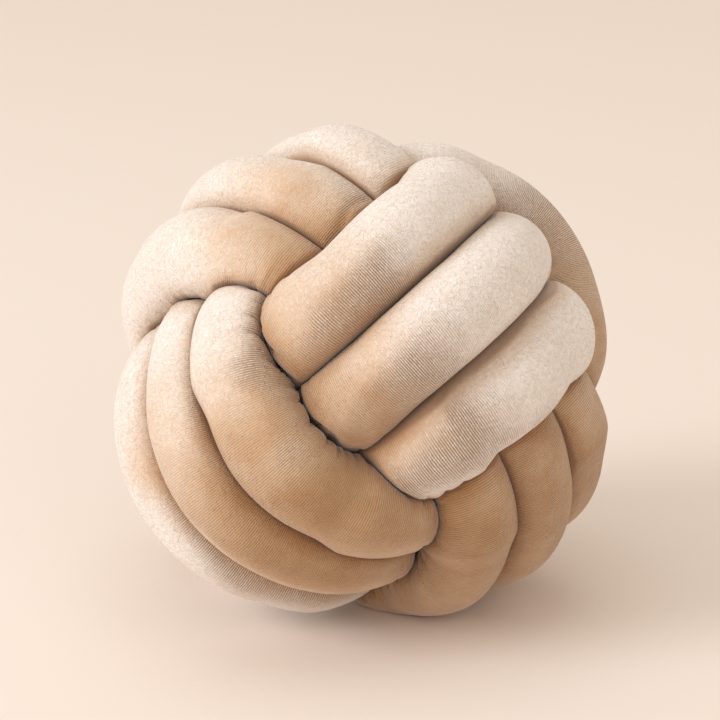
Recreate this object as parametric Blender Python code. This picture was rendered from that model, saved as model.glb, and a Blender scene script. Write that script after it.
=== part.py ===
"""Knot cushion: one long stuffed cloth tube, tied into a round three-band knot.

The tube is wound three times in each of three crossing bands. Every band runs over one of its
neighbours and under the other. A turn is traced by the angle it has swept in its own band: at
0 and 180 degrees it lies outermost, and at 90 and 270 degrees it dives under the crossing band.
Where turns press on each other, each stops halfway to its neighbour and the stuffing is pushed
to the free side, which gives the flat flanks and the sharp creases of the ball.
"""
import math
from collections import namedtuple

import bmesh
import bpy
import numpy as np
from mathutils import Euler

NAME = "knot_cushion"
NODE = "knot_tube"

# Driving size: about the distance between two neighbouring turns where they lie outermost.
PITCH = 0.0446

# The stuffed tube.
TUBE_RADIUS = 0.578 * PITCH          # where nothing presses on it
MOST_SWELLING = 1.22                 # how far a squeezed section may swell, against TUBE_RADIUS
PRESS_SHARPNESS = 12.0               # how abruptly a round section turns into a pressed flank
CONTACT_GAP = 0.0016                 # left between two turns that only just touch
DEEP_GAP = 0.50                      # extra gap where they press hard, as a share of the squeeze
STUFFING_SHIFTS = 6                  # rounds of moving stuffing from pressed to free sides
BANDS = 3
TURNS_PER_BAND = 3
FULL_TURN = 2 * math.pi
BAND_START = -0.25 * FULL_TURN       # each band starts and ends under the same crossing band
BAND_END = BAND_START + TURNS_PER_BAND * FULL_TURN
MILLIMETRE = 0.001

# Centre line of a turn, as (outermost, at the corner, innermost).
MIDDLE_REACH = (2.65 * PITCH, 2.13 * PITCH, 1.78 * PITCH)
SIDE_REACH = (2.64 * PITCH, 2.13 * PITCH, 1.38 * PITCH)
LANE_SPREAD = (1.05 * PITCH, 0.91 * PITCH, 0.69 * PITCH)

# Hidden passages, under the crossing band where a band begins and ends.
LANE_CHANGE_HALF_ANGLE = math.radians(38)
END_HALF_ANGLE = math.radians(50)
END_DIP = 0.33 * PITCH               # how much deeper the first and last turn lie there
END_SHIFT = 0.04 * PITCH             # and how much farther from the middle lane
JOIN_DIP = 0.16                      # how much closer to the core the tube joins the next band

# Unevenness of a knot tied by hand, in millimetres: how far a turn stands proud of its band and
# strays along the stack, in the middle of a face of the ball, and how much it leans out towards
# the end of its sweep. A face is its band and the angle.
FACES = {
    "front": (0, 0), "back": (0, 180),
    "right": (1, 0), "left": (1, 180),
    "top": (2, 0), "base": (2, 180),
}
Stray = namedtuple("Stray", "face turn proud aside lean")
STRAYS = (
    Stray("front", 1, -1, 1, 4), Stray("front", 2, 14, -1, 3), Stray("front", 3, -8, -4, 8),
    Stray("back", 1, 6, -6, 0), Stray("back", 2, 3, -2, 0), Stray("back", 3, 12, 1, 0),
    Stray("right", 1, 5, -1, -6), Stray("right", 2, -2, -1, 0), Stray("right", 3, 2, 2, 0),
    Stray("left", 1, -6, 8, -3), Stray("left", 2, 12, 12, -5), Stray("left", 3, 10, 13, -10),
    Stray("top", 1, -8, 6, 13), Stray("top", 2, 7, 7, -3), Stray("top", 3, -1, 8, -20),
    Stray("base", 1, 5, -1, 8), Stray("base", 2, 9, 2, -2), Stray("base", 3, -5, 5, 0),
)

# Detail of the solid.
RINGS = 356
SIDES = 16
PATH_SAMPLES = 1424                  # four for each ring, for the contact between turns
JOIN_SHARE = 20                      # a band's samples against those of the passage after it
SMOOTHING = 0.28 * PITCH             # length over which the centre line is evened out
OWN_STRETCH = 1.6 * PITCH            # nearer along the tube than this is no other turn

# How the ball lies: the knot's three axes turned into the upright frame, in degrees.
ATTITUDE = (26.3, -35.1, -56.9)
SETTLING = 0.007                     # how far the soft ball sinks onto its flat spots

COLOUR = (0.72, 0.56, 0.41, 1.0)
ROUGHNESS = 0.85


def size_at(sizes, angle):
    """A smooth even curve through the outermost, corner and innermost sizes."""
    outer, corner, inner = sizes
    mean = (outer + 2 * corner + inner) / 4
    swing = (outer - inner) / 2
    corner_lift = (outer - 2 * corner + inner) / 4
    return mean + swing * np.cos(2 * angle) + corner_lift * np.cos(4 * angle)


def ease(amount):
    """0 to 1 with a soft start and end."""
    amount = np.clip(amount, 0.0, 1.0)
    return amount * amount * (3 - 2 * amount)


def lane_at(angle):
    """Lane 1, 0 or -1; the tube changes lane under the crossing band, once in each full turn."""
    lane = np.ones_like(angle)
    for turn in range(1, TURNS_PER_BAND):
        change = angle - (BAND_START + turn * FULL_TURN)
        lane -= ease(0.5 + 0.5 * change / LANE_CHANGE_HALF_ANGLE)
    return lane


def end_window(angle):
    """1 where the band begins and ends, fading to 0 where the tube comes out into view."""
    away = np.minimum(angle - BAND_START, BAND_END - angle)
    return ease(1 - away / END_HALF_ANGLE)


def strays(band, angle):
    """Proud and aside along one band, each fading out where the turn leaves its face."""
    proud = np.zeros_like(angle)
    aside = np.zeros_like(angle)
    for stray in STRAYS:
        face_band, face_angle = FACES[stray.face]
        away = angle - math.radians(face_angle + 360 * (stray.turn - 1))
        fade = np.where(np.abs(away) < math.pi / 2, np.cos(away) ** 2, 0.0) * (face_band == band)
        proud += (stray.proud + stray.lean * np.sin(away)) * MILLIMETRE * fade
        aside += stray.aside * MILLIMETRE * fade
    return proud, aside


def band_path(band, samples):
    """Centre line of one band in its own axes: outermost, inner and stacking direction."""
    angle = np.linspace(BAND_START, BAND_END, samples)
    lane = lane_at(angle)
    ends = end_window(angle)
    middle = size_at(MIDDLE_REACH, angle)
    side = size_at(SIDE_REACH, angle)
    proud, aside = strays(band, angle)
    reach = middle + (side - middle) * lane**2 - END_DIP * ends + proud
    stack = lane * (size_at(LANE_SPREAD, angle) + END_SHIFT * ends) + aside
    return np.stack([reach * np.cos(angle), reach * np.sin(angle), stack], axis=1)


def join_path(start, end, samples):
    """Quarter sweep inside the ball, from the end of one band to the start of the next."""
    share = np.linspace(0, 1, samples + 2)[1:-1, None]
    sweep = share * math.pi / 2
    inward = 1 - JOIN_DIP * np.sin(2 * sweep)
    u = end[0] * np.sin(sweep)
    v = start[1] * np.cos(sweep)
    w = start[2] + (end[2] - start[2]) * ease(share)
    return np.concatenate([u, v, w], axis=1) * inward


def even_out(points, count):
    """The same closed line as count equally spaced points, smoothed over SMOOTHING."""
    closed = np.vstack([points, points[:1]])
    along = np.concatenate([[0], np.cumsum(np.linalg.norm(np.diff(closed, axis=0), axis=1))])
    places = np.arange(count) * along[-1] / count
    line = np.stack([np.interp(places, along, closed[:, axis]) for axis in range(3)], axis=1)
    passes = max(1, int(round((SMOOTHING / (along[-1] / count)) ** 2)))
    for _ in range(passes):
        line = (np.roll(line, 1, axis=0) + 2 * line + np.roll(line, -1, axis=0)) / 4
    return line


def knot_centreline():
    """The whole closed tube: three equal bands, each joined to the next inside the ball."""
    pieces = []
    for band in range(BANDS):
        path = band_path(band, PATH_SAMPLES)
        join = join_path(path[-1], np.roll(path[0], 1), PATH_SAMPLES // JOIN_SHARE)
        pieces.append(np.roll(np.vstack([path, join]), band, axis=1))
    return even_out(np.vstack(pieces), PATH_SAMPLES)


def ring_frames(line):
    """Directions across the tube at each point: away from the ball's centre, and sideways."""
    tangent = np.roll(line, -1, axis=0) - np.roll(line, 1, axis=0)
    tangent /= np.linalg.norm(tangent, axis=1, keepdims=True)
    outward = line - (line * tangent).sum(axis=1, keepdims=True) * tangent
    outward /= np.linalg.norm(outward, axis=1, keepdims=True)
    return outward, np.cross(tangent, outward)


def halfway_limits(line, rings, directions):
    """Distance in each ring direction at which the next turn is as near as the tube's own axis."""
    spacing = np.linalg.norm(line[1] - line[0])
    own = int(OWN_STRETCH / spacing)
    limits = np.empty(directions.shape[:2])
    numbers = np.arange(len(line))
    for row, ring in enumerate(rings):
        apart = np.abs(numbers - ring)
        others = line[np.minimum(apart, len(line) - apart) > own] - line[ring]
        facing = directions[row] @ others.T
        halfway = (others**2).sum(axis=1) / np.maximum(2 * facing, 1e-9)
        limits[row] = halfway.min(axis=1)
    squeeze = np.maximum(TUBE_RADIUS - limits, 0.0)
    return limits - CONTACT_GAP / 2 - DEEP_GAP / 2 * squeeze


def pressed_radii(limits):
    """Ring radii: round where free, halfway to a neighbour where pressed, with equal stuffing."""
    free = np.full((len(limits), 1), TUBE_RADIUS)
    for _ in range(STUFFING_SHIFTS):
        radii = (free**-PRESS_SHARPNESS + limits**-PRESS_SHARPNESS) ** (-1 / PRESS_SHARPNESS)
        fill = np.sqrt((radii**2).mean(axis=1, keepdims=True)) / TUBE_RADIUS
        free = np.clip(free / fill, TUBE_RADIUS, MOST_SWELLING * TUBE_RADIUS)
    return radii


def tube_rings():
    """Points of every ring round the knotted tube, as an array of rings, sides and axes."""
    line = knot_centreline()
    rings = np.arange(RINGS) * (PATH_SAMPLES // RINGS)
    outward, sideways = ring_frames(line)
    around = (np.arange(SIDES) + 0.5) * FULL_TURN / SIDES
    directions = (outward[rings, None] * np.cos(around)[None, :, None]
                  + sideways[rings, None] * np.sin(around)[None, :, None])
    radii = pressed_radii(halfway_limits(line, rings, directions))
    return line[rings, None] + directions * radii[..., None]


def stand_on_floor(points):
    """Turn the ball as it lies, and press its lowest turns flat on the floor at height 0."""
    turn = np.array(Euler([math.radians(angle) for angle in ATTITUDE]).to_matrix())
    placed = points @ turn.T
    low, high = placed.reshape(-1, 3).min(axis=0), placed.reshape(-1, 3).max(axis=0)
    placed -= ((low[0] + high[0]) / 2, (low[1] + high[1]) / 2, low[2] + SETTLING)
    placed[..., 2] = np.maximum(placed[..., 2], 0.0)
    return placed


def velvet():
    material = bpy.data.materials.new("velvet")
    material.use_nodes = True
    shader = material.node_tree.nodes["Principled BSDF"]
    shader.inputs["Base Color"].default_value = COLOUR
    shader.inputs["Roughness"].default_value = ROUGHNESS
    shader.inputs["Metallic"].default_value = 0.0
    return material


def knot_tube(collection):
    """Loft the closed tube through its rings; the last ring meets the first."""
    points = stand_on_floor(tube_rings())
    body = bmesh.new()
    loops = [[body.verts.new(point) for point in ring] for ring in points]
    for here, there in zip(loops, loops[1:] + loops[:1]):
        for side in range(SIDES):
            after = (side + 1) % SIDES
            body.faces.new((here[side], there[side], there[after], here[after]))
    bmesh.ops.recalc_face_normals(body, faces=body.faces)
    mesh = bpy.data.meshes.new(NODE)
    body.to_mesh(mesh)
    body.free()
    mesh.shade_smooth()
    mesh.materials.append(velvet())
    collection.objects.link(bpy.data.objects.new(NODE, mesh))


def main():
    for leftover in list(bpy.data.objects):
        bpy.data.objects.remove(leftover, do_unlink=True)
    collection = bpy.data.collections.new(NAME)
    bpy.context.scene.collection.children.link(collection)
    knot_tube(collection)


main()
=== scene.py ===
"""Looks of the knot cushion: ribbed velvet on one long stuffed tube, tied into a round knot.

The first functions trace the tube as the solid model does. The cloth is then laid over it much
finer, with its own wrinkles, and finished in velvet.
"""
import math
from collections import namedtuple

import bpy
import numpy as np
from mathutils import Euler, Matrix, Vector, noise


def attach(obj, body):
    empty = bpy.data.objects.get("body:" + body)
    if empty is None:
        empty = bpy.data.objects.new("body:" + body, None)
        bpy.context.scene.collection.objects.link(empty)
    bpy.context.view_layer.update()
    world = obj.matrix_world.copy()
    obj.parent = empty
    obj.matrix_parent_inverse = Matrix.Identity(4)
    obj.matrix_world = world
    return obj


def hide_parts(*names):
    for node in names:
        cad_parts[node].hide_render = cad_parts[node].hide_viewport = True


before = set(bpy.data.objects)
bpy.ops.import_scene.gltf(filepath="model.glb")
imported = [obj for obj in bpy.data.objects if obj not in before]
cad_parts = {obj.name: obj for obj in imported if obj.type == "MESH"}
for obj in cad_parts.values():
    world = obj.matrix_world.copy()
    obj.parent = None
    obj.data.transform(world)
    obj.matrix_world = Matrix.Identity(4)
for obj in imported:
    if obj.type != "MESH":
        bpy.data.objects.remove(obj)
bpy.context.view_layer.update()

# ---------------------------------------------------------------- the knot, as in the solid model

NODE = "knot_tube"
PITCH = 0.0446                       # metres between two neighbouring turns
TUBE_RADIUS = 0.578 * PITCH
MOST_SWELLING = 1.22                 # how far a squeezed section may swell, against TUBE_RADIUS
STUFFING_SHIFTS = 6                  # rounds of moving stuffing from pressed to free sides
BANDS = 3
TURNS_PER_BAND = 3
FULL_TURN = 2 * math.pi
BAND_START = -0.25 * FULL_TURN
BAND_END = BAND_START + TURNS_PER_BAND * FULL_TURN
MILLIMETRE = 0.001

# Centre line of a turn, as (outermost, at the corner, innermost).
MIDDLE_REACH = (2.65 * PITCH, 2.13 * PITCH, 1.78 * PITCH)
SIDE_REACH = (2.64 * PITCH, 2.13 * PITCH, 1.38 * PITCH)
LANE_SPREAD = (1.05 * PITCH, 0.91 * PITCH, 0.69 * PITCH)

# Hidden passages, under the crossing band where a band begins and ends.
LANE_CHANGE_HALF_ANGLE = math.radians(38)
END_HALF_ANGLE = math.radians(50)
END_DIP = 0.33 * PITCH               # how much deeper the first and last turn lie there
END_SHIFT = 0.04 * PITCH             # and how much farther from the middle lane
JOIN_DIP = 0.16                      # how much closer to the core the tube joins the next band

# How far each turn stands proud of its band, strays aside and leans out towards the end of its
# sweep, in millimetres.
FACES = {
    "front": (0, 0), "back": (0, 180),
    "right": (1, 0), "left": (1, 180),
    "top": (2, 0), "base": (2, 180),
}
Stray = namedtuple("Stray", "face turn proud aside lean")
STRAYS = (
    Stray("front", 1, -1, 1, 4), Stray("front", 2, 14, -1, 3), Stray("front", 3, -8, -4, 8),
    Stray("back", 1, 6, -6, 0), Stray("back", 2, 3, -2, 0), Stray("back", 3, 12, 1, 0),
    Stray("right", 1, 5, -1, -6), Stray("right", 2, -2, -1, 0), Stray("right", 3, 2, 2, 0),
    Stray("left", 1, -6, 8, -3), Stray("left", 2, 12, 12, -5), Stray("left", 3, 10, 13, -10),
    Stray("top", 1, -8, 6, 13), Stray("top", 2, 7, 7, -3), Stray("top", 3, -1, 8, -20),
    Stray("base", 1, 5, -1, 8), Stray("base", 2, 9, 2, -2), Stray("base", 3, -5, 5, 0),
)

PATH_SAMPLES = 1424                  # points of the coarse centre line
JOIN_SHARE = 20                      # a band's samples against those of the passage after it
SMOOTHING = 0.28 * PITCH             # length over which the centre line is evened out
OWN_STRETCH = 1.6 * PITCH            # nearer along the tube than this is no other turn
ATTITUDE = (26.3, -35.1, -56.9)      # how the ball lies, in degrees
SETTLING = 0.007                     # how far the soft ball sinks onto its flat spots

# ---------------------------------------------------------------- the cloth over it

FINER = 3                            # points of the fine centre line for each of the coarse one
RING_STEP = 0.00178                  # along the tube where it shows
HIDDEN_RING_STEP = 0.011             # and inside the ball
SHOWING_REACH = (1.90 * PITCH, 2.15 * PITCH)  # from hidden to showing, away from the core
SHOWING_PASSES = 4                   # of smoothing between the two steps
SIDES = 40
SIDE_CROWDING = 0.40                 # how much closer the sides are on the outside of the ball
CREASE_CROWDING = 0.08               # and where the turns meet
CLOTH_PRESS = 26.0                   # how sharply the cloth turns in where two turns meet
CLOTH_GAP = 0.0003                   # between two turns where they press on each other
BEND_SPAN = 2                        # points to each side over which a bend is measured

# Puckers: short folds across the tube, where cloth gathers against a turn that crosses it.
PUCKER_LENGTH = 0.0115               # from one fold to the next
PUCKER_WANDER = 1.30                 # how unevenly they come, in folds
PUCKER_DEPTH = 0.0036
PUCKER_SHARPNESS = 1.6
PUCKER_REACH = 0.62                  # how far up the free side they run, as a share of its radius
PUCKER_FULL = 1.05                   # and where they are deepest, in the same shares
PUCKER_SOFTENING = (3, 2)            # passes along the tube and around it
CROSSING_GAIN = 1.6                  # how soon they come as the next turn crosses more squarely
CROSSING_SHIFT = 0.3

# Gathers: folds across the tube on the inner side of a bend, where its cloth is too long.
GATHER_LENGTH = 0.0095
GATHER_DEPTH = 0.0032
GATHER_FROM = 0.10                   # of the cloth's length taken up by the bend, where they start
GATHER_FULL = 0.55
GATHER_WANDER = 1.4                  # how unevenly they come, as a share of the puckers' wander
GATHER_FREE_SHARE = 0.15             # of their depth that stays where no other turn presses

# How strong puckers and gathers are, and how far that varies from place to place.
FOLD_STRENGTH = 0.85
FOLD_SPREAD = 1.2
FOLD_LIMITS = (0.15, 1.4)

# Unevenness of the stuffing under the cloth, as (size, height).
LUMPS = ((0.070, 0.0007), (0.024, 0.0003))

# Noise over the ball, as (features in each metre, offset of the field).
WANDER_FIELD = (30.0, 0.0)
FOLD_FIELD = (28.0, 31.0)
PAINTED_SHEEN_FIELD = (17.0, 53.0)
LUMP_OFFSET = 7.0                    # of the first size of lump; each further one adds 1

# ---------------------------------------------------------------- finish

# Painted shade: the deeper tan of the shaded underside and low ends, where no sheen is painted.
PAINTED_SHADE_TAN = (0.44, 0.245, 0.11)
BASE_TAN = (0.585, 0.362, 0.197)
BASE_CREAM = (0.65, 0.455, 0.295)
# Painted sheen: the pale veil the velvet shows towards grazing angles.
PAINTED_SHEEN_COLOUR = (0.85, 0.80, 0.77)
# Painted highlight: glints of light along the rib tops.
PAINTED_GLINT = (0.92, 0.88, 0.84)
# Painted shade in the creases.
CREASE_SHADE_COLOUR = (0.29, 0.155, 0.082)
VALLEY_SHADE_TINT = (0.42, 0.33, 0.26)     # painted shade: shares of the cloth's colour left between the ribs
WIDE_CREASE_SHADE_TINT = (0.80, 0.69, 0.58)    # and in a wider band of painted shade near a crease
SHEEN_TINT = (1.0, 0.95, 0.90)
SHEEN_WEIGHT = 0.45
SHEEN_ROUGHNESS = 0.50
SPECULAR = 0.25

RIB_PITCH = 0.00100                  # at the tube's own axis; the ribs fan out outside a bend
RIB_HEIGHT = 0.00034
RIB_SWAY = 0.0007
RIBBED_AND_SHADED_SIDE = (0.85, -0.45, -0.25)   # away from the key light: the ribs stand clear, creases get more painted shade
NAP_HEIGHT = 0.00022
CLUMP_HEIGHT = 0.0010
CRACK_SHARE = 0.19                   # depth of the cracks between clumps, as a share of that

CLOTH_UV = "cloth"
NEARNESS = "nearness"                # 1 where the cloth touches the next turn
PAINTED_SHEEN_ATTRIBUTE = "painted_sheen"                  # 1 where pale sheen is painted on the cloth

# Noise over the ball: features in each metre, detail, roughness and distortion.
SWAY_NOISE = (60.0, 2.0, 0.5, 0.0)
BRUSHED_NOISE = (26.0, 3.0, 0.6, 0.0)
CLUMP_NOISE = (300.0, 3.0, 0.6, 0.6)
CRUSH_NOISE = (90.0, 4.0, 0.62, 1.2)

# Noise in the cloth's own metres: features in each metre along and around the tube, then detail
# and roughness.
PILE_NOISE = ((900.0, 430.0, 1.0), 3.0, 0.65)
GRAIN_NOISE = ((620.0, 420.0, 1.0), 3.0, 0.7)
GLINT_NOISE = ((1300.0, 450.0, 1.0), 1.0, 0.5)

# Shares of the first of two fields mixed together.
BRUSHED_SHARE = 0.4                  # of brushed patches on top of the painted sheen
CRUSH_SHARE = 0.55                   # of crush against clumps, in how the pile lies
PATCH_SHARE = 0.6                    # of brushed patches against the lie, in the base colour
CLUMP_MIDDLE = 0.5                   # the value of the clumps' noise along which they crack

# Soft steps: from which value of a field to which, and between which results if not 0 and 1.
# By nearness to the next turn:
CREASED = (0.88, 1.0)
WIDE_CREASE_SHADE = (0.50, 1.0)
# By how far the cloth faces the ribbed and shaded side:
RIBBED = (-0.10, 0.45)
CREASE_SHADED = (-0.60, -0.10, 0.40, 1.0)
# By how far it faces up:
RIBS_FROM_BELOW = (-0.85, -0.40, 0.10, 1.0)
# By the painted sheen alone:
RIBBED_WITHOUT_SHEEN = (0.05, 0.45, 0.85, 0.0)
# By the painted sheen and brushed patches together:
RIBS_THROUGH_SHEEN = (0.55, 1.05, 1.0, 0.08)
VALLEY_SHADE_IN_SHEEN = (0.0, 0.6, 0.5, 1.0)
CRACKS_IN_SHEEN = (0.0, 0.8, 0.3, 1.0)
GLINTS_IN_SHEEN = (0.15, 0.50, 0.0, 0.55)
LEAVING_SHADE_TAN = (-0.12, 0.22)
PAINTED_VEIL = (0.0, 1.0)
# By how the pile lies:
PAINTED_VEIL_BY_LIE = (0.30, 0.60, 0.78, 1.0)
ROUGHNESS_BY_LIE = (0.3, 0.7, 0.95, 0.72)
# By noise of their own:
CRACK_WIDTH = (0.0, 0.075, 1.0, 0.0)
TAN_TO_CREAM = (0.34, 0.66)
PAINTED_VEIL_BY_GRAIN = (0.35, 0.60, 0.80, 1.0)
GLINTS = (0.54, 0.68)

# Where pale sheen is painted on each face's turns, standing in for the velvet's sheen at grazing
# angles: from starts to full, by how far a place lies towards the middle of another face, as a
# share. The paler of a face's rows shows.
PaintedSheenRow = namedtuple("PaintedSheenRow", "face pale_end starts full")
PAINTED_SHEEN_ROWS = (
    PaintedSheenRow("front", "right", -0.93, 0.17), PaintedSheenRow("front", "base", 0.00, 0.80),
    PaintedSheenRow("left", "top", -0.15, 0.90), PaintedSheenRow("left", "back", -0.10, 0.38),
    PaintedSheenRow("top", "back", -1.05, 0.22), PaintedSheenRow("top", "right", -0.20, 0.50),
    PaintedSheenRow("back", "left", -0.50, 1.00), PaintedSheenRow("right", "top", -0.85, 0.75),
    PaintedSheenRow("base", "back", 0.40, 1.40), PaintedSheenRow("base", "front", 0.55, 1.60),
)
PAINTED_SHEEN_WANDER = 0.22                    # how far the edge of the painted sheen strays, in the same shares
PAINTED_SHEEN_SOFTENING = (2, 2)               # passes along the tube and around it

# ---------------------------------------------------------------- camera, floor and light

CAMERA_ELEVATION = math.radians(18)
CAMERA_DISTANCE = 1.895              # from the middle of the knot
FRAME_PIXELS = 720
PIXELS_PER_METRE = 1688.0            # at the middle of the knot
KNOT_BELOW_MIDDLE = 16.7             # pixels from the frame's middle down to the knot's
KNOT_RIGHT_OF_MIDDLE = 3.2           # and to the right
SENSOR = 36.0                        # millimetres
FLOOR_COLOUR = (0.86, 0.78, 0.725)
FLOOR_SHADE = 0.97                   # the darker end of its fine grain
FLOOR_GRAIN = (420.0, 2.0)           # features in each metre, and detail
FLOOR_ROUGHNESS = 0.9
FLOOR_SPECULAR = 0.1
FLOOR_RADIUS = 9.0
FLOOR_SPOKES = 64
FLOOR_GAP = 0.0003
WORLD_COLOUR = (1.0, 0.89, 0.765)
WORLD_STRENGTH = 0.78
Light = namedtuple("Light", "name direction distance size watts colour")
LIGHTS = (
    Light("key", (-0.90, -0.36, 0.56), 4.0, 2.0, 64.0, (0.965, 0.98, 1.0)),
    Light("low", (-1.0, -0.45, 0.25), 4.0, 2.4, 30.0, (0.98, 0.98, 1.0)),
    Light("top", (0.0, 0.05, 1.0), 4.0, 2.8, 18.0, (0.98, 0.98, 1.0)),
    Light("front", (0.45, -1.0, 0.45), 4.0, 3.0, 18.0, (1.0, 0.97, 0.95)),
)


def size_at(sizes, angle):
    """A smooth even curve through the outermost, corner and innermost sizes."""
    outer, corner, inner = sizes
    mean = (outer + 2 * corner + inner) / 4
    swing = (outer - inner) / 2
    corner_lift = (outer - 2 * corner + inner) / 4
    return mean + swing * np.cos(2 * angle) + corner_lift * np.cos(4 * angle)


def ease(amount):
    """0 to 1 with a soft start and end."""
    amount = np.clip(amount, 0.0, 1.0)
    return amount * amount * (3 - 2 * amount)


def lane_at(angle):
    """Lane 1, 0 or -1; the tube changes lane under the crossing band, once in each full turn."""
    lane = np.ones_like(angle)
    for turn in range(1, TURNS_PER_BAND):
        change = angle - (BAND_START + turn * FULL_TURN)
        lane -= ease(0.5 + 0.5 * change / LANE_CHANGE_HALF_ANGLE)
    return lane


def end_window(angle):
    """1 where the band begins and ends, fading to 0 where the tube comes out into view."""
    away = np.minimum(angle - BAND_START, BAND_END - angle)
    return ease(1 - away / END_HALF_ANGLE)


def strays(band, angle):
    """Proud and aside along one band, each fading out where the turn leaves its face."""
    proud = np.zeros_like(angle)
    aside = np.zeros_like(angle)
    for stray in STRAYS:
        face_band, face_angle = FACES[stray.face]
        away = angle - math.radians(face_angle + 360 * (stray.turn - 1))
        fade = np.where(np.abs(away) < math.pi / 2, np.cos(away) ** 2, 0.0) * (face_band == band)
        proud += (stray.proud + stray.lean * np.sin(away)) * MILLIMETRE * fade
        aside += stray.aside * MILLIMETRE * fade
    return proud, aside


def band_path(band, samples):
    """Centre line of one band in its own axes: outermost, inner and stacking direction."""
    angle = np.linspace(BAND_START, BAND_END, samples)
    lane = lane_at(angle)
    ends = end_window(angle)
    middle = size_at(MIDDLE_REACH, angle)
    side = size_at(SIDE_REACH, angle)
    proud, aside = strays(band, angle)
    reach = middle + (side - middle) * lane**2 - END_DIP * ends + proud
    stack = lane * (size_at(LANE_SPREAD, angle) + END_SHIFT * ends) + aside
    return np.stack([reach * np.cos(angle), reach * np.sin(angle), stack], axis=1)


def join_path(start, end, samples):
    """Quarter sweep inside the ball, from the end of one band to the start of the next."""
    share = np.linspace(0, 1, samples + 2)[1:-1, None]
    sweep = share * math.pi / 2
    inward = 1 - JOIN_DIP * np.sin(2 * sweep)
    u = end[0] * np.sin(sweep)
    v = start[1] * np.cos(sweep)
    w = start[2] + (end[2] - start[2]) * ease(share)
    return np.concatenate([u, v, w], axis=1) * inward


def even_out(points, count):
    """The same closed line as count equally spaced points, smoothed over SMOOTHING."""
    closed = np.vstack([points, points[:1]])
    along = np.concatenate([[0], np.cumsum(np.linalg.norm(np.diff(closed, axis=0), axis=1))])
    places = np.arange(count) * along[-1] / count
    line = np.stack([np.interp(places, along, closed[:, axis]) for axis in range(3)], axis=1)
    passes = max(1, int(round((SMOOTHING / (along[-1] / count)) ** 2)))
    for _ in range(passes):
        line = (np.roll(line, 1, axis=0) + 2 * line + np.roll(line, -1, axis=0)) / 4
    return line


def knot_centreline():
    """The whole closed tube: three equal bands, each joined to the next inside the ball."""
    pieces = []
    for band in range(BANDS):
        path = band_path(band, PATH_SAMPLES)
        join = join_path(path[-1], np.roll(path[0], 1), PATH_SAMPLES // JOIN_SHARE)
        pieces.append(np.roll(np.vstack([path, join]), band, axis=1))
    return even_out(np.vstack(pieces), PATH_SAMPLES)


def curve_at(line, places):
    """Points on the smooth closed curve through the line, at places counted in its points."""
    whole = np.floor(places).astype(int)
    part = (places - whole)[:, None]
    before, here, after, beyond = (line[(whole + step) % len(line)] for step in (-1, 0, 1, 2))
    return 0.5 * (2 * here + (after - before) * part
                  + (2 * before - 5 * here + 4 * after - beyond) * part**2
                  + (3 * here - before - 3 * after + beyond) * part**3)


def ring_places(line):
    """Where the rings of cloth lie along the line: close together where the tube shows."""
    hidden_reach, shown_reach = SHOWING_REACH
    showing = ease((np.linalg.norm(line, axis=1) - hidden_reach) / (shown_reach - hidden_reach))
    for _ in range(SHOWING_PASSES):
        showing = (np.roll(showing, 1) + 2 * showing + np.roll(showing, -1)) / 4
    spacing = np.linalg.norm(line[1] - line[0])
    per_point = spacing * (showing / RING_STEP + (1 - showing) / HIDDEN_RING_STEP)
    counted = np.concatenate([[0], np.cumsum(per_point)])
    rings = int(round(counted[-1]))
    return np.interp(np.arange(rings) * counted[-1] / rings, counted, np.arange(len(line) + 1))


def side_angles():
    """Angles round the tube from the side that faces out of the ball, closer together there."""
    share = (np.arange(SIDES) + 0.5) / SIDES
    return (FULL_TURN * share - SIDE_CROWDING * np.sin(FULL_TURN * share)
            + CREASE_CROWDING * np.sin(2 * FULL_TURN * share))


def tube_frames(line, places):
    """Centre, tangent, outward and sideways direction of each ring, and the line's own bend."""
    centre = curve_at(line, places)
    ahead, behind = curve_at(line, places + 0.5), curve_at(line, places - 0.5)
    step = np.linalg.norm(ahead - behind, axis=1, keepdims=True)
    tangent = (ahead - behind) / step
    outward = centre - (centre * tangent).sum(axis=1, keepdims=True) * tangent
    outward /= np.linalg.norm(outward, axis=1, keepdims=True)
    far_ahead, far_behind = curve_at(line, places + BEND_SPAN), curve_at(line, places - BEND_SPAN)
    bend = (far_ahead + far_behind - 2 * centre) / (BEND_SPAN * step) ** 2
    return centre, tangent, outward, np.cross(tangent, outward), bend


def neighbours(line, places, centre, tangent, directions):
    """For every ring and side: how far the halfway plane to the next turn is, and how squarely
    that turn crosses this one, from 0 where they run side by side to 1."""
    spacing = np.linalg.norm(line[1] - line[0])
    numbers = np.arange(len(line))
    heading = np.roll(line, -1, axis=0) - np.roll(line, 1, axis=0)
    heading /= np.linalg.norm(heading, axis=1, keepdims=True)
    limits = np.empty(directions.shape[:2])
    crossing = np.empty(directions.shape[:2])
    for row, place in enumerate(places):
        apart = np.abs(numbers - place)
        others = np.flatnonzero(np.minimum(apart, len(line) - apart) * spacing > OWN_STRETCH)
        reach = line[others] - centre[row]
        facing = directions[row] @ reach.T
        halfway = (reach**2).sum(axis=1) / np.maximum(2 * facing, 1e-9)
        nearest = halfway.argmin(axis=1)
        limits[row] = halfway[np.arange(len(nearest)), nearest]
        crossing[row] = 1 - np.abs(heading[others[nearest]] @ tangent[row])
    return limits, crossing


def pressed_radii(limits, weights):
    """Round where free, halfway to a neighbour where pressed, with the same stuffing all along."""
    free = np.full((len(limits), 1), TUBE_RADIUS)
    for _ in range(STUFFING_SHIFTS):
        radii = (free**-CLOTH_PRESS + limits**-CLOTH_PRESS) ** (-1 / CLOTH_PRESS)
        fill = np.sqrt((radii**2 * weights).sum(axis=1, keepdims=True)) / TUBE_RADIUS
        free = np.clip(free / fill, TUBE_RADIUS, MOST_SWELLING * TUBE_RADIUS)
    return radii, free


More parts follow.
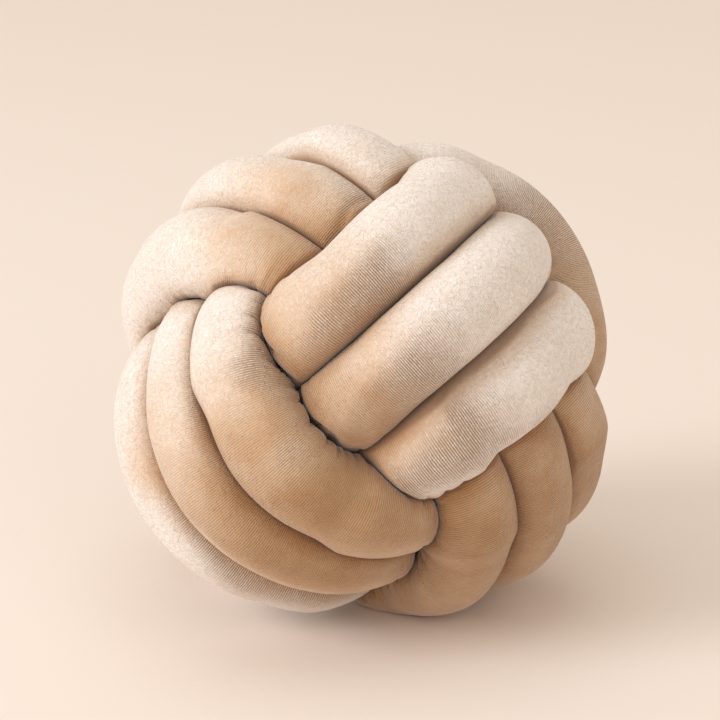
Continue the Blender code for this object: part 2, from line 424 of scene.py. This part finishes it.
def soften(field, along_passes, around_passes):
    """Averages a field over the cloth with its neighbours, along the tube and around it."""
    for _ in range(along_passes):
        field = (np.roll(field, 1, axis=0) + 2 * field + np.roll(field, -1, axis=0)) / 4
    for _ in range(around_passes):
        field = (np.roll(field, 1, axis=1) + 2 * field + np.roll(field, -1, axis=1)) / 4
    return field


def noise_over(points, scale, offset):
    """Smooth noise from -1 to 1 at each point, with features of about 1/scale metres."""
    shift = Vector((offset, offset * 0.7, -offset))
    flat = points.reshape(-1, 3)
    values = [noise.noise(Vector(point) * scale + shift) for point in flat]
    return np.array(values).reshape(points.shape[:-1])


def folds(along, wander, length):
    """Sharp narrow folds with round swells between them: 1 in a fold, 0 on a swell."""
    wave = np.abs(np.sin(math.pi * (along / length + wander)))
    return (1 - wave) ** PUCKER_SHARPNESS


def cloth_radii(line, places, angles):
    """Radii of the cloth at every ring and side, the frames they are measured in, and how near the
    cloth is to the next turn, up to 1 where they touch."""
    centre, tangent, outward, sideways, bend = tube_frames(line, places)
    directions = (outward[:, None] * np.cos(angles)[None, :, None]
                  + sideways[:, None] * np.sin(angles)[None, :, None])
    limits, crossing = neighbours(line, places, centre, tangent, directions)
    limits = limits - CLOTH_GAP / 2
    weights = np.gradient(np.concatenate([[angles[-1] - FULL_TURN], angles,
                                          [angles[0] + FULL_TURN]]))[1:-1] / FULL_TURN
    radii, free = pressed_radii(limits, weights)
    surface = centre[:, None] + directions * radii[..., None]

    along = places[:, None] * np.linalg.norm(line[1] - line[0])
    squeeze = ease((free / limits - PUCKER_REACH) / (PUCKER_FULL - PUCKER_REACH))
    crossed = ease(crossing * CROSSING_GAIN - CROSSING_SHIFT)
    gathered = soften(squeeze * crossed, *PUCKER_SOFTENING)
    taken_up = np.einsum("rk,rsk->rs", bend, directions) * radii
    bent = ease((taken_up - GATHER_FROM) / (GATHER_FULL - GATHER_FROM))

    wander = PUCKER_WANDER * noise_over(surface, *WANDER_FIELD)
    strength = FOLD_STRENGTH + FOLD_SPREAD * noise_over(surface, *FOLD_FIELD)
    strength = np.clip(strength, *FOLD_LIMITS)
    radii = radii - PUCKER_DEPTH * gathered * strength * folds(along, wander, PUCKER_LENGTH)
    tucked = bent * (GATHER_FREE_SHARE + (1 - GATHER_FREE_SHARE) * squeeze)
    gathers = folds(along, GATHER_WANDER * wander, GATHER_LENGTH)
    radii = radii - GATHER_DEPTH * tucked * strength * gathers
    for number, (size, height) in enumerate(LUMPS):
        radii = radii + height * noise_over(surface, 1 / size, LUMP_OFFSET + number)
    radii = np.minimum(radii, limits)
    return centre, directions, radii, radii / limits


def stand_on_floor(points):
    """Turn the ball as it lies, and press its lowest turns flat on the floor at height 0."""
    turn = np.array(Euler([math.radians(angle) for angle in ATTITUDE]).to_matrix())
    placed = points @ turn.T
    low, high = placed.reshape(-1, 3).min(axis=0), placed.reshape(-1, 3).max(axis=0)
    move = -np.array([(low[0] + high[0]) / 2, (low[1] + high[1]) / 2, low[2] + SETTLING])
    placed += move
    placed[..., 2] = np.maximum(placed[..., 2], 0.0)
    return placed, Vector(move)


def towards(unit, face):
    """How far each place on the ball lies towards the middle of a face, from -1 to 1."""
    band, angle = FACES[face]
    return unit[..., band] * (1 if angle == 0 else -1)


def painted_sheen_field(points, places, count):
    """How much pale sheen is painted at each point of the cloth, from 0 to 1."""
    unit = points / np.linalg.norm(points, axis=-1, keepdims=True)
    band = (places * BANDS / count).astype(int)[:, None]
    wander = PAINTED_SHEEN_WANDER * noise_over(points, *PAINTED_SHEEN_FIELD)
    painted_sheen = np.zeros(points.shape[:2])
    for pale_sheen in PAINTED_SHEEN_ROWS:
        on_face = (band == FACES[pale_sheen.face][0]) & (towards(unit, pale_sheen.face) > 0)
        reach = towards(unit, pale_sheen.pale_end) + wander
        pale = ease((reach - pale_sheen.starts) / (pale_sheen.full - pale_sheen.starts)) * on_face
        painted_sheen = np.maximum(painted_sheen, pale)
    return soften(painted_sheen, *PAINTED_SHEEN_SOFTENING)


def cloth_mesh(points, along, angles, fields):
    """Closed tube of quads, with the cloth's own metres along and around it as its UV map."""
    rings, sides = points.shape[:2]
    ring, side = np.meshgrid(np.arange(rings), np.arange(sides), indexing="ij")
    after, beside = (ring + 1) % rings, (side + 1) % sides
    corners = [(ring, side), (after, side), (after, beside), (ring, beside)]
    faces = np.stack([r * sides + s for r, s in corners], axis=-1).reshape(-1, 4)
    mesh = bpy.data.meshes.new("velvet_tube")
    mesh.from_pydata(points.reshape(-1, 3).tolist(), [], faces.tolist())

    length = 2 * along[-1] - along[-2]
    along = np.append(along, length) * round(length / RIB_PITCH) * RIB_PITCH / length
    around = np.append(angles, angles[0] + FULL_TURN) * TUBE_RADIUS
    u = [along[ring], along[ring + 1], along[ring + 1], along[ring]]
    v = [around[side], around[side], around[side + 1], around[side + 1]]
    uv = np.stack([np.stack(u, axis=-1), np.stack(v, axis=-1)], axis=-1)
    layer = mesh.uv_layers.new(name=CLOTH_UV)
    layer.data.foreach_set("uv", uv.reshape(-1))
    for name, field in fields.items():
        attribute = mesh.attributes.new(name, "FLOAT", "POINT")
        attribute.data.foreach_set("value", field.reshape(-1))
    mesh.shade_smooth()
    if mesh_volume(points, faces) < 0:
        mesh.flip_normals()
    return mesh


def mesh_volume(points, faces):
    """Volume inside the closed tube, negative where its faces point inwards."""
    first, second, third, fourth = points.reshape(-1, 3)[faces].transpose(1, 0, 2)
    halves = ((first, second, third), (first, third, fourth))
    return sum(np.einsum("ij,ij->", a, np.cross(b, c)) for a, b, c in halves) / 6


# ---------------------------------------------------------------- materials

class Nodes:
    """Short calls that add linked shader nodes to one material."""

    def __init__(self, name):
        self.material = bpy.data.materials.new(name)
        self.material.use_nodes = True
        self.tree = self.material.node_tree
        self.shader = self.tree.nodes["Principled BSDF"]

    def put(self, value, socket):
        if isinstance(value, bpy.types.NodeSocket):
            self.tree.links.new(value, socket)
        else:
            socket.default_value = value

    def add(self, kind, **settings):
        node = self.tree.nodes.new(kind)
        for key, value in settings.items():
            setattr(node, key, value)
        return node

    def maths(self, operation, *values):
        node = self.add("ShaderNodeMath", operation=operation)
        for value, socket in zip(values, node.inputs):
            self.put(value, socket)
        return node.outputs[0]

    def attribute(self, name):
        return self.add("ShaderNodeAttribute", attribute_name=name).outputs["Fac"]

    def axes(self, vector):
        node = self.add("ShaderNodeSeparateXYZ")
        self.put(vector, node.inputs[0])
        return node.outputs

    def times(self, first, second):
        return self.maths("MULTIPLY", first, second)

    def share(self, amount, first, second):
        """The first field in this share, and the second in what is left of 1."""
        return self.maths("ADD", self.times(first, amount), self.times(second, 1 - amount))

    def noise(self, vector, scale, detail=2.0, roughness=0.5, distortion=0.0):
        node = self.add("ShaderNodeTexNoise")
        self.put(vector, node.inputs["Vector"])
        for name, value in (("Scale", scale), ("Detail", detail), ("Roughness", roughness),
                            ("Distortion", distortion)):
            node.inputs[name].default_value = value
        return node.outputs["Fac"]

    def drawn_noise(self, vector, stretch, detail, roughness):
        """Noise with its own scale along each axis."""
        return self.noise(self.scaled(vector, stretch), 1.0, detail, roughness)

    def ramp(self, value, low, high, to_low=0.0, to_high=1.0):
        node = self.add("ShaderNodeMapRange", interpolation_type="SMOOTHSTEP")
        for amount, socket in zip((value, low, high, to_low, to_high), node.inputs):
            self.put(amount, socket)
        return node.outputs["Result"]

    def mix(self, share, first, second):
        node = self.add("ShaderNodeMix", data_type="RGBA")
        sockets = [s for s in node.inputs if s.enabled]
        for value, socket in zip((share, first, second), sockets):
            self.put((*value, 1.0) if isinstance(value, tuple) else value, socket)
        return [s for s in node.outputs if s.enabled][0]

    def bump(self, height, metres, below=None):
        node = self.add("ShaderNodeBump")
        self.put(1.0, node.inputs["Strength"])
        self.put(metres, node.inputs["Distance"])
        self.put(height, node.inputs["Height"])
        if below is not None:
            self.put(below, node.inputs["Normal"])
        return node.outputs["Normal"]

    def scaled(self, vector, factors):
        node = self.add("ShaderNodeVectorMath", operation="MULTIPLY")
        self.put(vector, node.inputs[0])
        self.put(factors, node.inputs[1])
        return node.outputs[0]

    def facing(self, normal, direction):
        """How far the surface faces a direction."""
        node = self.add("ShaderNodeVectorMath", operation="DOT_PRODUCT")
        self.put(normal, node.inputs[0])
        self.put(direction, node.inputs[1])
        return node.outputs["Value"]

    def finish(self, **values):
        """Sets plain values on the shader, by the names of its sockets with _ for a space."""
        for name, value in values.items():
            self.put(value, self.shader.inputs[name.replace("_", " ")])
        return self.material


def velvet():
    """Ribs round the tube under a velvet nap: painted sheen where it is pale, painted shade where
    it is deep, in the creases and between the ribs, and painted glints on the rib tops.
    """
    n = Nodes("ribbed_velvet")
    space = n.add("ShaderNodeTexCoord").outputs["Object"]
    normal = n.add("ShaderNodeTexCoord").outputs["Normal"]
    cloth = n.add("ShaderNodeUVMap", uv_map=CLOTH_UV).outputs["UV"]
    painted_sheen, nearness = n.attribute(PAINTED_SHEEN_ATTRIBUTE), n.attribute(NEARNESS)
    creased = n.ramp(nearness, *CREASED)
    facing = n.facing(normal, RIBBED_AND_SHADED_SIDE)

    # The nap: painted pale sheen in places, brushed in patches, standing in clumps and crushed.
    brushed = n.noise(space, *BRUSHED_NOISE)
    clumps = n.noise(space, *CLUMP_NOISE)
    pale_sheen = n.maths("MULTIPLY_ADD", brushed, BRUSHED_SHARE,
                  n.maths("SUBTRACT", painted_sheen, BRUSHED_SHARE / 2))
    lie = n.share(CRUSH_SHARE, n.noise(space, *CRUSH_NOISE), clumps)
    off_middle = n.maths("ABSOLUTE", n.maths("SUBTRACT", clumps, CLUMP_MIDDLE))
    cracks = n.times(n.ramp(off_middle, *CRACK_WIDTH), n.ramp(pale_sheen, *CRACKS_IN_SHEEN))

    # The ribs: a little unsteady, and hidden in part where pale sheen is painted and below the
    # ball.
    sway = n.times(n.noise(space, *SWAY_NOISE), RIB_SWAY)
    along = n.maths("ADD", n.axes(cloth)["X"], sway)
    wave = n.maths("SINE", n.times(along, FULL_TURN / RIB_PITCH))
    rib = n.maths("MULTIPLY_ADD", wave, 0.5, 0.5)
    bare = n.maths("MAXIMUM", n.ramp(facing, *RIBBED), n.ramp(painted_sheen, *RIBBED_WITHOUT_SHEEN))
    ribs_show = n.times(bare, n.ramp(pale_sheen, *RIBS_THROUGH_SHEEN))
    ribs_show = n.times(ribs_show, n.ramp(n.axes(normal)["Z"], *RIBS_FROM_BELOW))

    colour = pile_colour_with_painted_light(n, cloth, brushed, pale_sheen, lie)
    colour = ribbed_colour(n, cloth, colour, rib, ribs_show, pale_sheen)
    # Painted shade near the creases: a wide deeper tint, then the crease colour, stronger on the
    # side away from the key light.
    colour = n.mix(n.ramp(nearness, *WIDE_CREASE_SHADE), colour, n.scaled(colour, WIDE_CREASE_SHADE_TINT))
    shaded = n.times(creased, n.ramp(facing, *CREASE_SHADED))
    n.put(n.mix(shaded, colour, CREASE_SHADE_COLOUR), n.shader.inputs["Base Color"])
    n.put(n.ramp(lie, *ROUGHNESS_BY_LIE), n.shader.inputs["Roughness"])

    # The relief fades out in the creases.
    smooth = n.maths("SUBTRACT", 1.0, creased)
    cracked = n.maths("MULTIPLY_ADD", cracks, -CRACK_SHARE, clumps)
    relief = n.bump(n.times(n.times(rib, ribs_show), smooth), RIB_HEIGHT)
    relief = n.bump(n.times(cracked, smooth), CLUMP_HEIGHT, relief)
    relief = n.bump(n.times(n.drawn_noise(cloth, *PILE_NOISE), smooth), NAP_HEIGHT, relief)
    n.put(relief, n.shader.inputs["Normal"])
    return n.finish(Metallic=0.0, Specular_IOR_Level=SPECULAR, Sheen_Weight=SHEEN_WEIGHT,
                    Sheen_Roughness=SHEEN_ROUGHNESS, Sheen_Tint=(*SHEEN_TINT, 1.0))


def pile_colour_with_painted_light(n, cloth, brushed, pale_sheen, lie):
    """The pile's colour in random tan and cream patches, with painted sheen where it is pale and
    painted shade where it is deep.
    """
    patches = n.share(PATCH_SHARE, brushed, lie)
    colour = n.mix(n.ramp(patches, *TAN_TO_CREAM), BASE_TAN, BASE_CREAM)
    # Painted shade: deeper tan where no sheen is painted.
    colour = n.mix(n.ramp(pale_sheen, *LEAVING_SHADE_TAN), PAINTED_SHADE_TAN, colour)
    # Painted sheen: a pale veil, broken up by the pile's lie and grain.
    painted_veil = n.times(n.ramp(pale_sheen, *PAINTED_VEIL), n.ramp(lie, *PAINTED_VEIL_BY_LIE))
    painted_veil = n.times(painted_veil, n.ramp(n.drawn_noise(cloth, *GRAIN_NOISE), *PAINTED_VEIL_BY_GRAIN))
    return n.mix(painted_veil, colour, PAINTED_SHEEN_COLOUR)


def ribbed_colour(n, cloth, colour, rib, ribs_show, pale_sheen):
    """The colour with painted shade between the ribs and painted glints of light along their tops.
    """
    # Painted shade between the ribs.
    valley_shade = n.times(ribs_show, n.ramp(pale_sheen, *VALLEY_SHADE_IN_SHEEN))
    between = n.times(n.maths("SUBTRACT", 1.0, rib), valley_shade)
    colour = n.mix(between, colour, n.scaled(colour, VALLEY_SHADE_TINT))
    # Painted glints of light along the rib tops.
    glints = n.ramp(n.drawn_noise(cloth, *GLINT_NOISE), *GLINTS)
    return n.mix(n.times(n.times(glints, rib), n.ramp(pale_sheen, *GLINTS_IN_SHEEN)), colour, PAINTED_GLINT)


def floor_paint():
    n = Nodes("plain_floor")
    space = n.add("ShaderNodeTexCoord").outputs["Object"]
    darker = tuple(FLOOR_SHADE * c for c in FLOOR_COLOUR)
    paint = n.mix(n.noise(space, *FLOOR_GRAIN), darker, FLOOR_COLOUR)
    n.put(paint, n.shader.inputs["Base Color"])
    return n.finish(Roughness=FLOOR_ROUGHNESS, Specular_IOR_Level=FLOOR_SPECULAR)


# ---------------------------------------------------------------- the piece and its surroundings

def add_object(name, data, material=None):
    thing = bpy.data.objects.new(name, data)
    bpy.context.scene.collection.objects.link(thing)
    if material:
        data.materials.append(material)
    return thing


def dress_knot():
    """The velvet tube in place of the plain solid; returns where the middle of the knot is."""
    line = knot_centreline()
    fine = curve_at(line, np.arange(len(line) * FINER) / FINER)
    places = ring_places(fine)
    angles = side_angles()
    centre, directions, radii, nearness = cloth_radii(fine, places, angles)
    cloth = centre[:, None] + directions * radii[..., None]
    painted_sheen = painted_sheen_field(cloth, places, len(fine))
    points, middle = stand_on_floor(cloth)
    along = places * np.linalg.norm(fine[1] - fine[0])
    fields = {PAINTED_SHEEN_ATTRIBUTE: painted_sheen, NEARNESS: nearness}
    tube = add_object("velvet_tube", cloth_mesh(points, along, angles, fields), velvet())
    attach(tube, "root")
    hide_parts(NODE)
    return middle


def set_camera(middle):
    """The photograph's view: from a little above, with the knot just below the frame's middle."""
    focal_pixels = PIXELS_PER_METRE * CAMERA_DISTANCE
    data = bpy.data.cameras.new("camera")
    data.sensor_width = SENSOR
    data.lens = focal_pixels / FRAME_PIXELS * SENSOR
    camera = add_object("camera", data)
    back = Vector((0, -math.cos(CAMERA_ELEVATION), math.sin(CAMERA_ELEVATION)))
    camera.location = middle + back * CAMERA_DISTANCE
    raised = math.atan(KNOT_BELOW_MIDDLE / focal_pixels)
    turned = math.atan(KNOT_RIGHT_OF_MIDDLE / focal_pixels)
    camera.rotation_euler = (math.pi / 2 - CAMERA_ELEVATION + raised, 0, turned)
    bpy.context.scene.camera = camera


def soft_light(name, place, target, size, watts, colour):
    data = bpy.data.lights.new(name, "AREA")
    data.shape = "DISK"
    data.size = size
    data.energy = watts
    data.color = colour
    light = add_object(name, data)
    light.location = place
    light.rotation_euler = (target - light.location).to_track_quat("-Z", "Y").to_euler()


def set_floor():
    """A plain round floor, a hair below the knot."""
    mesh = bpy.data.meshes.new("floor")
    turns = [FULL_TURN * spoke / FLOOR_SPOKES for spoke in range(FLOOR_SPOKES)]
    rim = [(FLOOR_RADIUS * math.cos(turn), FLOOR_RADIUS * math.sin(turn), -FLOOR_GAP)
           for turn in turns]
    mesh.from_pydata(rim, [], [tuple(range(FLOOR_SPOKES))])
    add_object("floor", mesh, floor_paint())


def set_light(middle):
    world = bpy.data.worlds.new("studio")
    world.use_nodes = True
    shade = world.node_tree.nodes["Background"]
    shade.inputs["Color"].default_value = (*WORLD_COLOUR, 1.0)
    shade.inputs["Strength"].default_value = WORLD_STRENGTH
    bpy.context.scene.world = world
    for light in LIGHTS:
        place = middle + Vector(light.direction).normalized() * light.distance
        soft_light(light.name, place, middle, light.size, light.watts, light.colour)
    bpy.context.scene.view_settings.view_transform = "Standard"


knot_middle = dress_knot()
set_camera(knot_middle)
set_floor()
set_light(knot_middle)
